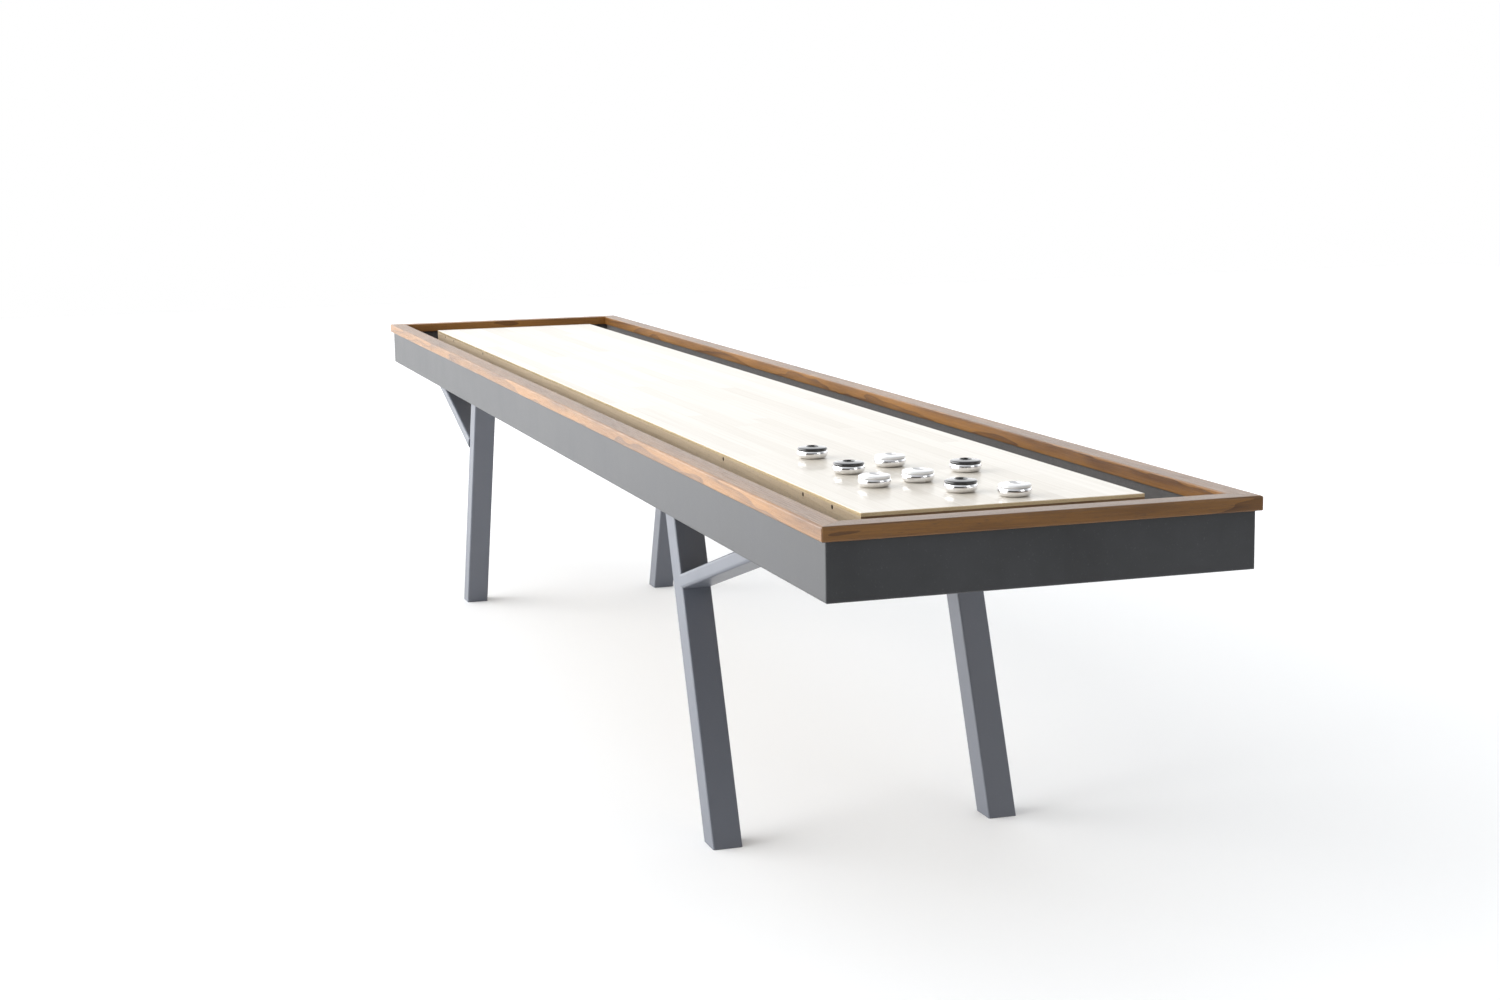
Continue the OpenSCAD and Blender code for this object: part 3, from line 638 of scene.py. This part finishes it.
def make_materials(scene):
    """Every finish of the table, by name."""
    rails, steel, board = scene.table_rails, scene.table_steel, scene.table_board
    wood, staves = wood_grain_group(), maple_staves_group()
    powder, metal, nap = powder_coat_group(), worn_metal_group(), fibres_group()

    # The rail wood scaled by an amount: below one it is painted shade, above one painted light.
    def toned(amount):
        light, dark = ([amount * part for part in tone] for tone in (rails.wood_light, rails.wood_dark))
        return {"Light": light, "Dark": dark, "Ring": 0.0065, "Figure": 0.028, "Gloss": 0.28}

    def nap_of(light, dark, grain):
        return {"Light": light, "Dark": dark, "Grain": grain}

    bare_side = {
        "Light": board.side_light,
        "Dark": board.side_dark,
        "Ring": 0.005,
        "Figure": 0.02,
        "Gloss": 0.5,
    }
    # The slab's ends: darker end grain, darkened further as painted shade on the ends that face away from the
    # light.
    end_grain_and_shade = {**bare_side, "Light": (0.36, 0.22, 0.11), "Dark": (0.2, 0.11, 0.05), "Gloss": 0.6}
    # Painted shade: the walls of the cross holes are painted near black, as the shade inside the holes.
    painted_bore_shade = {**bare_side, "Light": (0.035, 0.02, 0.012), "Dark": (0.015, 0.009, 0.006), "Gloss": 0.8}
    # The coat's edge: amber resin, painted brighter as light shining through the edge of the coat.
    amber_and_glow = {**bare_side, "Light": (0.98, 0.78, 0.47), "Dark": (0.88, 0.66, 0.38), "Gloss": 0.2}
    top_maple = {"Light": board.maple_light, "Dark": board.maple_dark, "Stave": board.stave}
    gloss_coat = {"Roughness": 0.4, "Coat Weight": 0.3, "Coat Roughness": 0.1, "Coat IOR": 1.5}
    amber_coat = {"Coat Weight": 1.0, "Coat Roughness": 0.08}
    chrome = {"Metal": (0.93, 0.93, 0.94), "Dull": (0.8, 0.8, 0.82), "Gloss": 0.035, "Grain": 500.0}
    zinc = {"Metal": (0.66, 0.67, 0.69), "Dull": (0.42, 0.43, 0.45), "Gloss": 0.3, "Grain": 350.0}
    bare_metal = {"Metallic": 1.0}
    polished = {"Roughness": 0.16, "Coat Weight": 0.6, "Coat Roughness": 0.04}
    wool = {"Roughness": 0.95, "Sheen Weight": 0.4, "Sheen Roughness": 0.5}
    felt_light, felt_dark = ([amount * part for part in board.felt] for amount in (1.25, 0.7))
    black_nap = nap_of((0.016, 0.016, 0.018), (0.008, 0.008, 0.009), 900.0)
    white_nap = nap_of((0.9, 0.9, 0.9), (0.82, 0.82, 0.83), 900.0)
    pad_nap = nap_of((0.03, 0.03, 0.032), (0.015, 0.015, 0.016), 1200.0)
    along, across = 0.0, pi / 2
    table = (
        ("rail_wood", wood, toned(1.0), 0.0001, {}, along, (0, 0.06, -0.68)),
        # the end boards: a darker copy of the rail wood as painted shade at the near end, a brighter copy as
        # painted light at the far end
        ("rail_wood_near", wood, toned(rails.near_painted_shade), 0.0001, {}, across, (0.3, 0.05, -0.7)),
        ("rail_wood_far", wood, toned(rails.far_painted_light), 0.0001, {}, across, (0.7, 0.04, -0.71)),
        ("key_wood", wood, bare_side, 0.0001, {}, along, (0, 0, 0)),
        ("slab_wood", wood, bare_side, 0.0001, {}, along, (0, 0.1, -0.66)),
        ("slab_end", wood, end_grain_and_shade, 0.0001, {}, across, (0, 0.1, -0.66)),
        ("slab_bore", wood, painted_bore_shade, 0.0001, {}, along, (0, 0, 0)),
        ("coat_top", staves, top_maple, 0.00002, gloss_coat, along, (0, 0, 0)),
        ("coat_edge", wood, amber_and_glow, 0.00002, amber_coat, along, (0, 0, 0)),
        ("case_paint", powder, {"Paint": steel.paint, "Gloss": 0.4}, 0.00003, {}, along, (0, 0, 0)),
        # the legs: the case's powder coat painted lighter and bluer, as painted light
        ("leg_paint", powder, {"Paint": steel.leg_paint, "Gloss": 0.36}, 0.00003, {}, along, (0, 0, 0)),
        ("zinc_steel", metal, zinc, 0.00002, bare_metal, along, (0, 0, 0)),
        ("puck_chrome", metal, chrome, 0.000001, bare_metal, along, (0, 0, 0)),
        ("black_cap", nap, black_nap, 0.000004, polished, along, (0, 0, 0)),
        ("white_cap", nap, white_nap, 0.000004, polished, along, (0, 0, 0)),
        ("pad_plastic", nap, pad_nap, 0.00004, {"Roughness": 0.55}, along, (0, 0, 0)),
        ("gutter_felt", nap, nap_of(felt_light, felt_dark, 1100.0), 0.0004, wool, along, (0, 0, 0)),
    )
    return {row[0]: dressed(*row) for row in table}


FINISHES = {}


def finish(name):
    return FINISHES[name]


# ---- operators ----


class TABLE_OT_finishes(bpy.types.Operator):
    """Make every finish and put it on the parts that keep their engineered shape"""

    bl_idname = "table.finishes"
    bl_label = "Finishes"

    def execute(self, context):
        for material in bpy.data.materials:
            material.name = material.name + PLAIN
        FINISHES.update(make_materials(context.scene))
        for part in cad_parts.values():
            slot = part.material_slots[0]
            name = slot.material.name.removesuffix(PLAIN)
            slot.material = finish(FINISH_OF.get(name, name))
        # the foot rings and leg plates take the legs' lighter copy of the paint, painted light
        for node in ("foot_rings", "leg_plates"):
            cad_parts[node].material_slots[0].material = finish("leg_paint")
        return {"FINISHED"}


class TABLE_OT_rails(bpy.types.Operator):
    """Saw, round and slot the four mitred rail boards"""

    bl_idname = "table.rails"
    bl_label = "Rails"

    def execute(self, context):
        sizes = context.scene.table_rails
        for node, outward in (
            ("side_rail_left", (0, -1)),
            ("side_rail_right", (0, 1)),
            ("end_rail_near", (1, 0)),
            ("end_rail_far", (-1, 0)),
        ):
            self.board(node, outward, sizes)
        return {"FINISHED"}

    def board(self, node, outward, sizes):
        low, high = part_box(node)
        is_side = outward[0] == 0
        along, across = (0, 1) if is_side else (1, 0)
        outer, inner = (high, low) if outward[across] > 0 else (low, high)
        board = block(node + "_board", low, high)
        for side, height, radius in (
            (outer, high.z, sizes.top_round),
            (outer, low.z, sizes.low_round),
            (inner, high.z, sizes.inner_round),
            (inner, low.z, sizes.inner_round / 2),
        ):
            round_edges(board, runs_along(along, (side.x, side.y, height)), radius, 5)
        for end in (low, high):
            corner = Vector((0, 0, low.z))
            corner[along] = end[along]
            corner[across] = outer[across]
            normal = Vector((0, 0, 0))
            normal[along] = 1 if end is high else -1
            normal[across] = -outward[across]
            saw(board, corner, normal.normalized())
            diagonal = Vector((0, 0, 0))
            diagonal[along] = normal[along]
            diagonal[across] = outward[across]
            diagonal.normalize()
            saw(board, corner - diagonal * sizes.corner_cut, diagonal)
        for end in (low, high):
            board = self.key_slot(board, end[along], outer[across], along, low, high, sizes)
        round_edges(
            board,
            lambda edge: sum(self.is_sawn(face, low, high) for face in edge.link_faces) == 1
            and self.on_outline(edge, low, high),
            sizes.mitre_ease,
            2,
        )
        close(board)
        # the end boards take the painted shade (near) and painted light (far) copies of the rail wood
        wood = {"end_rail_near": "rail_wood_near", "end_rail_far": "rail_wood_far"}.get(node, "rail_wood")
        finish_piece(board, "table", [node], "rail_wood", finish(wood))

    def is_sawn(self, face, low, high):
        """Whether a face is the mitre's sawn face and not the blunted corner."""
        slanted = abs(face.normal.x) > SLANTED and abs(face.normal.y) > SLANTED
        return slanted and face.calc_area() > (high.z - low.z) ** 2

    def on_outline(self, edge, low, high):
        """Whether an edge lies on the board's skin and not in a key slot."""
        return not all(low.z + SKIN < v.co.z < high.z - SKIN for v in edge.verts) or any(
            abs(v.co[axis] - corner[axis]) < SKIN
            for v in edge.verts
            for axis in (0, 1)
            for corner in (low, high)
        )

    def key_slot(self, board, end, side, along, low, high, sizes):
        inward = (high.y - low.y if along == 0 else high.x - low.x) / 2 + sizes.key_inset
        middle = Vector((0, 0, (low.z + high.z) / 2))
        middle[along] = end - (inward if end > 0 else -inward)
        middle[1 - along] = side - (inward if side > 0 else -inward)
        half = Vector((sizes.key_long, sizes.key_wide, sizes.key_thick)) / 2 + Vector([sizes.key_gap] * 3)
        cutter = block("slot", -half, half)
        cutter.rotation_euler = (0, 0, -pi / 4 if middle.x * middle.y > 0 else pi / 4)
        cutter.location = middle
        settle(cutter)
        cut_with(board, cutter)
        return board


class TABLE_OT_legs(bpy.types.Operator):
    """Build one leaning leg tube and its brace, and mirror them to the four corners"""

    bl_idname = "table.legs"
    bl_label = "Legs"

    def execute(self, context):
        steel = context.scene.table_steel
        low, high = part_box("leg_near_right")
        lean = tan(steel.leg_lean)
        half = steel.tube / cos(steel.leg_lean) / 2
        middle_y = (low.y + high.y) / 2
        foot = Vector((high.x - half + lean * low.z, middle_y, 0))
        outward = Vector((cos(steel.leg_lean), 0, sin(steel.leg_lean)))

        leg = self.bar(steel.tube, steel.tube, steel, foot, -steel.leg_lean)
        saw(leg, (0, 0, high.z), (0, 0, 1), fill=False)
        saw(leg, (0, 0, low.z), (0, 0, -1), fill=False)
        self.hollow(leg, steel.wall)

        brace_low, brace_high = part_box("brace_near_right")
        upright = steel.brace_thick / cos(steel.brace_rise)
        upper = self.brace_meets_leg(foot.x + half, lean, brace_low.z, upright, steel)
        start = Vector((upper.x, middle_y, upper.z - upright / 2))
        brace = self.bar(steel.brace_thick, steel.tube, steel, start, pi / 2 - steel.brace_rise)
        saw(brace, foot + Vector((half, 0, 0)), -outward, fill=False)
        saw(brace, (0, 0, brace_high.z), (0, 0, 1), fill=False)
        self.hollow(brace, steel.wall)

        for corner, (sx, sy) in CORNERS.items():
            for part, node in ((leg, f"leg_{corner}"), (brace, f"brace_{corner}")):
                piece = copy_of(part, node + "_tube", flip=(sx, sy, 1))
                finish_piece(piece, "table", [node], "case_paint", finish("leg_paint"))
        bpy.data.objects.remove(leg)
        bpy.data.objects.remove(brace)
        return {"FINISHED"}

    def brace_meets_leg(self, face_x, lean, lowest, upright, steel):
        """Where the brace's upper face meets the leg's outer face."""
        height = lowest + upright / (1 + lean * tan(steel.brace_rise))
        return Vector((face_x - lean * height, 0, height))

    def bar(self, thick, wide, steel, place, tilt):
        """A long bar with rounded edges that leans through a place."""
        half_t, half_w = thick / 2, wide / 2
        bar = block("bar", (-half_t, -half_w, -BAR_REACH), (half_t, half_w, BAR_REACH))
        for x in (-half_t, half_t):
            for y in (-half_w, half_w):
                round_edges(bar, runs_along(2, (x, y, 0)), steel.tube_round, 5)
        close(bar)
        bar.rotation_euler = (0, tilt, 0)
        bar.location = place
        return settle(bar)

    def hollow(self, tube, wall):
        close(tube)
        use_modifier(tube, "SOLIDIFY", thickness=wall, offset=-1.0, use_even_offset=True)


class TABLE_OT_playfield(bpy.types.Operator):
    """Drill the slab, pour its coat and line the gutter with felt"""

    bl_idname = "table.playfield"
    bl_label = "Playfield"

    def execute(self, context):
        sizes = context.scene.table_board
        self.slab(sizes)
        self.coat(sizes)
        self.felt(sizes)
        return {"FINISHED"}

    def slab(self, sizes):
        low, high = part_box("playfield_slab")
        slab = block("maple_slab", low, high)
        round_edges(slab, at_height(low.z), sizes.slab_ease, 2)
        close(slab)
        rods_low, rods_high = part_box("tie_rods")
        height = (rods_low.z + rods_high.z) / 2
        reach = high.y + CUT_PAST
        radius = (rods_high.z - rods_low.z) / 2
        outer_x = rods_high.x - radius
        places = (outer_x, outer_x - sizes.second_hole, outer_x - sizes.third_hole)
        holes = [
            rod("hole", (x, -reach, height), (x, reach, height), sizes.cross_hole, 24)
            for x in [side * place for place in places for side in (-1, 1)]
        ]
        cut_with(slab, *holes)
        for side in (low.y, high.y):
            round_edges(slab, self.hole_rims(side, height, sizes.cross_hole), sizes.hole_ease, 2)
        close(slab)
        finish_piece(
            slab,
            "table",
            ["playfield_slab"],
            "board_maple",
            finish("slab_wood"),
            finish("slab_end"),
            finish("slab_bore"),
        )
        # The ends get the end grain darkened as painted shade; the hole walls get the painted shade of the
        # bores.
        for face in slab.data.polygons:
            centre, normal = face.center, face.normal
            in_bore = abs(normal.y) < FACES_SIDE and abs(centre.z - height) < BORE_ZONE * sizes.cross_hole
            at_end = abs(abs(centre.x) - high.x) < sizes.slab_ease
            face.material_index = 1 if at_end else (2 if in_bore else 0)

    def hole_rims(self, side, height, radius):
        """Picks the rims of the cross holes on one side of the slab."""
        return lambda edge: all(
            abs(vert.co.y - side) < NEAR and abs(vert.co.z - height) < RIM_ZONE * radius
            for vert in edge.verts
        )

    def coat(self, sizes):
        low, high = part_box("playfield_coat")
        coat = block("poured_coat", low, high)
        round_edges(coat, at_height(high.z), sizes.coat_round, 4)
        close(coat)
        finish_piece(coat, "table", ["playfield_coat"], "board_coat", finish("coat_top"), finish("coat_edge"))
        for face in coat.data.polygons:
            face.material_index = 0 if face.normal.z > FACES_UP else 1

    def felt(self, sizes):
        low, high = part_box("gutter_felts")
        slab_low, slab_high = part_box("playfield_slab")
        floor_top = low.z + sizes.felt_thick
        felt = block("gutter_lining", low, high)
        pick(felt, "FACE", lambda face: face.normal.z > FACES_UP)
        bpy.ops.mesh.inset(thickness=sizes.felt_thick)
        bpy.ops.mesh.extrude_region_move(TRANSFORM_OT_translate={"value": (0, 0, floor_top - high.z)})
        close(felt)
        reach = Vector((sizes.felt_reach, sizes.felt_reach, 0))
        opening = block(
            "opening",
            Vector((slab_low.x, slab_low.y, low.z - CUT_PAST)) + reach,
            Vector((slab_high.x, slab_high.y, floor_top + CUT_PAST)) - reach,
        )
        cut_with(felt, opening)
        round_edges(felt, at_height(high.z), sizes.felt_thick * FELT_EDGE, 2)
        close(felt)
        finish_piece(felt, "table", ["gutter_felts"], "gutter_felt", finish("gutter_felt"))


class TABLE_OT_pucks(bpy.types.Operator):
    """Turn one puck body and one cap, and set the eight pucks in their places"""

    bl_idname = "table.pucks"
    bl_label = "Pucks"

    def execute(self, context):
        sizes = context.scene.table_pucks
        low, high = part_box(PUCKS[0])
        radius = (high.x - low.x) / 2
        body = self.body(sizes, radius)
        cap_low, cap_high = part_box(PUCKS[0].replace("puck", "cap"))
        cap = self.cap(sizes, (cap_high.x - cap_low.x) / 2, cap_high.z - cap_low.z)
        for puck in PUCKS:
            low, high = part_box(puck)
            place = Vector(((low.x + high.x) / 2, (low.y + high.y) / 2, low.z))
            colour_name = puck.split("_")[0]
            cap_node = puck.replace("puck", "cap")
            chrome = copy_of(body, puck + "_body", place)
            finish_piece(chrome, puck, [puck], "puck_chrome", finish("puck_chrome"))
            top = copy_of(cap, cap_node + "_ring", place + Vector((0, 0, sizes.seat)))
            finish_piece(top, puck, [cap_node], f"{colour_name}_cap", finish(f"{colour_name}_cap"))
        bpy.data.objects.remove(body)
        bpy.data.objects.remove(cap)
        return {"FINISHED"}

    def body(self, sizes, radius):
        centre = (radius - sizes.bulge, sizes.bulge)
        top = asin((sizes.seat - sizes.bulge) / sizes.bulge)
        outline = arc(centre, sizes.bulge, -pi / 2, top, sizes.arc_steps) + [
            (sizes.boss, sizes.seat),
            (sizes.boss, sizes.boss_top - BOSS_EASE),
            (sizes.boss - BOSS_EASE, sizes.boss_top),
        ]
        return turned("puck_body", outline, sizes.round_steps)

    def cap(self, sizes, radius, height):
        """A ring with a rounded outer edge, a domed top and a raised rim round the well in its middle."""
        bore = sizes.boss + BORE_GAP
        rim_centre = (sizes.boss + 2 * sizes.rim, height - sizes.rim)
        thick = height - RIM_SUNK * sizes.rim
        edge = sizes.edge_part * thick
        dome = (0.0, thick + sizes.crown_rise - sizes.crown)
        outer = acos((radius - edge) / sizes.crown)
        inner = acos((rim_centre[0] + RIM_REACH * sizes.rim) / sizes.crown)
        outline = (
            [(bore, 0.0)]
            + arc((radius - edge, edge), edge, -pi / 2, outer, sizes.arc_steps)
            + arc(dome, sizes.crown, outer, inner, sizes.arc_steps)
            + arc(rim_centre, sizes.rim, pi / 8, pi, sizes.arc_steps)
            + [(bore, height - WELL_DEPTH * sizes.rim), (bore, 0.0)]
        )
        return turned("puck_cap", outline, sizes.round_steps)


PANELS = (  # the setting that holds a light's power, its place, the point it faces, its width and height
    ("left", (-1.0, -6.0, 2.2), (0, 0, 0.5), (9, 4)),
    ("top", (-1.0, 0.0, 5.0), (0, 0, 0.7), (9, 6)),
    ("back", (-7.0, -4.4, 2.0), (1.5, -0.4, 0.7), (4, 3)),
    ("front", (6.4, 2.9, 2.7), (1.3, 0.0, 0.4), (2.6, 2.6)),
)


class TABLE_OT_stage(bpy.types.Operator):
    """Lay the floor, hang the lights and set up the camera"""

    bl_idname = "table.stage"
    bl_label = "Stage"

    def execute(self, context):
        settings = context.scene.table_stage
        self.camera(context.scene, settings)
        self.floor(settings)
        self.sky(context.scene, settings)
        for side, place, aim, size in PANELS:
            self.panel(side + "_panel", place, aim, size, getattr(settings, side))
        context.scene.view_settings.view_transform = "Standard"
        return {"FINISHED"}

    def camera(self, scene, settings):
        camera = bpy.data.objects.new("camera", bpy.data.cameras.new("camera"))
        scene.collection.objects.link(camera)
        camera.data.lens = settings.lens
        camera.data.sensor_width = SENSOR_WIDTH
        level = cos(settings.pitch)
        forward = Vector((-cos(settings.yaw) * level, sin(settings.yaw) * level, sin(settings.pitch)))
        facing = forward.to_track_quat("-Z", "Y") @ Quaternion((0, 0, 1), settings.roll)
        camera.rotation_euler = facing.to_euler()
        camera.location = settings.camera_place
        scene.camera = camera

    def floor(self, settings):
        deselect()
        back, front = -settings.floor_back, settings.floor_front
        bpy.ops.mesh.primitive_plane_add(size=1, location=((back + front) / 2, 0, 0))
        floor = bpy.context.object
        floor.scale = (front - back, 2 * settings.floor_side, 1)
        settle(floor, "floor")
        material = bpy.data.materials.new("floor_paint")
        material.use_nodes = True
        surface = material.node_tree.nodes["Principled BSDF"]
        surface.inputs["Base Color"].default_value = (*settings.floor_paint, 1)
        surface.inputs["Roughness"].default_value = settings.floor_rough
        surface.inputs["Emission Color"].default_value = (1, 1, 1, 1)
        tree = material.node_tree
        place = tree.nodes.new("ShaderNodeTexCoord").outputs["Object"]
        distance = add_node(
            tree, "ShaderNodeVectorMath", {0: stretched(tree, place, (0.6, 1, 1))}, operation="LENGTH"
        ).outputs["Value"]
        glow = remap(tree, distance, 1.0, 3.6, settings.glow_near, settings.glow_far)
        tree.links.new(glow, surface.inputs["Emission Strength"])
        floor.data.materials.append(material)

    def panel(self, name, place, aim, size, power):
        """A large soft light that faces a point."""
        light = bpy.data.lights.new(name, "AREA")
        light.shape = "RECTANGLE"
        light.size, light.size_y = size
        light.energy = power
        panel = bpy.data.objects.new(name, light)
        bpy.context.scene.collection.objects.link(panel)
        panel.location = place
        panel.rotation_euler = (Vector(aim) - Vector(place)).to_track_quat("-Z", "Y").to_euler()

    def sky(self, scene, settings):
        """Light from all round: bright above, behind and on the left, dimmer towards the near end."""
        world = bpy.data.worlds.new("studio")
        world.use_nodes = True
        tree = world.node_tree
        tree.nodes.clear()
        direction = tree.nodes.new("ShaderNodeTexCoord").outputs["Generated"]
        axes = add_node(tree, "ShaderNodeSeparateXYZ", {0: direction}).outputs
        ahead = remap(tree, axes["X"], 0.0, 0.45)
        low = remap(tree, axes["Z"], 0.75, 0.3)
        depth = remap(tree, axes["Y"], -0.15, 0.2, 0.97, 0.75)
        dark = times(tree, times(tree, ahead, low), depth)
        open_sky = maths(tree, "SUBTRACT", 1.0, dark)
        left = remap(tree, axes["Y"], 0.2, -0.7, 0.85, 1.3)
        behind = remap(tree, axes["X"], -0.3, -0.9, 1.0, 1.2)
        zenith = remap(tree, axes["Z"], 0.25, 0.85, 1.0, 0.35)
        sides = times(tree, left, behind)
        shape = times(tree, times(tree, open_sky, sides), zenith)
        strength = times(tree, shape, settings.sky)
        around = add_node(
            tree, "ShaderNodeBackground", {"Strength": strength}, {"Color": (0.97, 0.985, 1.0, 1)}
        )
        seen = add_node(tree, "ShaderNodeBackground", {}, {"Color": (1, 1, 1, 1), "Strength": 1.0})
        path = tree.nodes.new("ShaderNodeLightPath").outputs["Is Camera Ray"]
        both = add_node(tree, "ShaderNodeMixShader", {0: path, 1: around.outputs[0], 2: seen.outputs[0]})
        add_node(tree, "ShaderNodeOutputWorld", {"Surface": both.outputs[0]})
        scene.world = world


class TABLE_PT_panel(bpy.types.Panel):
    """Lists the steps that build the table"""

    bl_idname = "TABLE_PT_panel"
    bl_label = "Shuffleboard Table"
    bl_space_type = "VIEW_3D"
    bl_region_type = "UI"
    bl_category = "Table"

    def draw(self, context):
        for operator in OPERATORS:
            self.layout.operator(operator.bl_idname)
        for name in GROUPS:
            settings = getattr(context.scene, name)
            box = self.layout.box()
            for key in settings.__annotations__:
                box.prop(settings, key)


GROUPS = {
    "table_rails": RailSizes,
    "table_steel": SteelSizes,
    "table_board": BoardSizes,
    "table_pucks": PuckSizes,
    "table_stage": StageSettings,
}
OPERATORS = (
    TABLE_OT_stage,
    TABLE_OT_finishes,
    TABLE_OT_rails,
    TABLE_OT_legs,
    TABLE_OT_playfield,
    TABLE_OT_pucks,
)


def register():
    for cls in (*GROUPS.values(), *OPERATORS, TABLE_PT_panel):
        bpy.utils.register_class(cls)
    for name, cls in GROUPS.items():
        setattr(bpy.types.Scene, name, PointerProperty(type=cls))


def unregister():
    for name in GROUPS:
        delattr(bpy.types.Scene, name)
    for cls in reversed((*GROUPS.values(), *OPERATORS, TABLE_PT_panel)):
        bpy.utils.unregister_class(cls)


def main():
    register()
    for operator in OPERATORS:
        area, name = operator.bl_idname.split(".")
        getattr(getattr(bpy.ops, area), name)()


if __name__ == "__main__":
    main()
